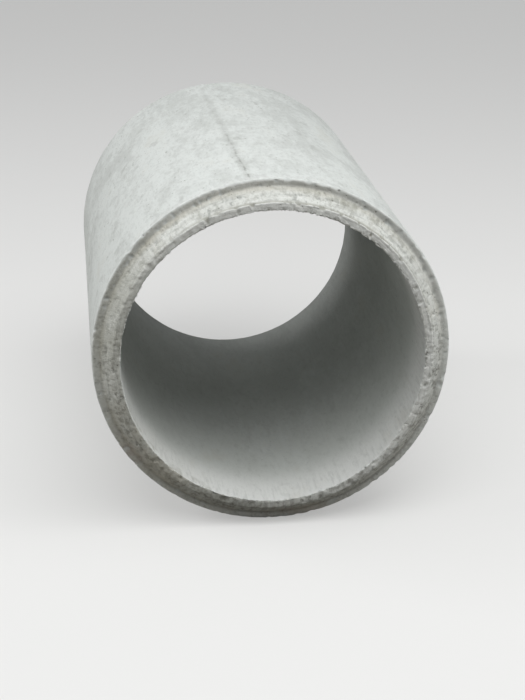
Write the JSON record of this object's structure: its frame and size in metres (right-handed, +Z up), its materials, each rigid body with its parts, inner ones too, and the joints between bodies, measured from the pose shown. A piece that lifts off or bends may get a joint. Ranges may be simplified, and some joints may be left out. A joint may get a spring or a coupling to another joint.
{
  "type": "concrete sewer pipe",
  "caption": "Concrete sewer pipe, cast in one piece, with a tapered spigot at the near end and a matching recessed socket at the far end, so that lengths close flush.",
  "frame": {"origin": "on the floor line under the pipe's axis, midway along the whole length", "axes": "+Y along the pipe's axis, with the spigot end towards -Y and the socket end towards +Y; +Z up; the pipe lies on its side"},
  "size_m": [0.71, 1.035, 0.71],
  "materials": {
    "concrete": "matt dry-cast concrete, pale grey, finely pitted and mottled"
  },
  "bodies": {
    "root": {"pipe": "concrete"}
  },
  "joints": []
}
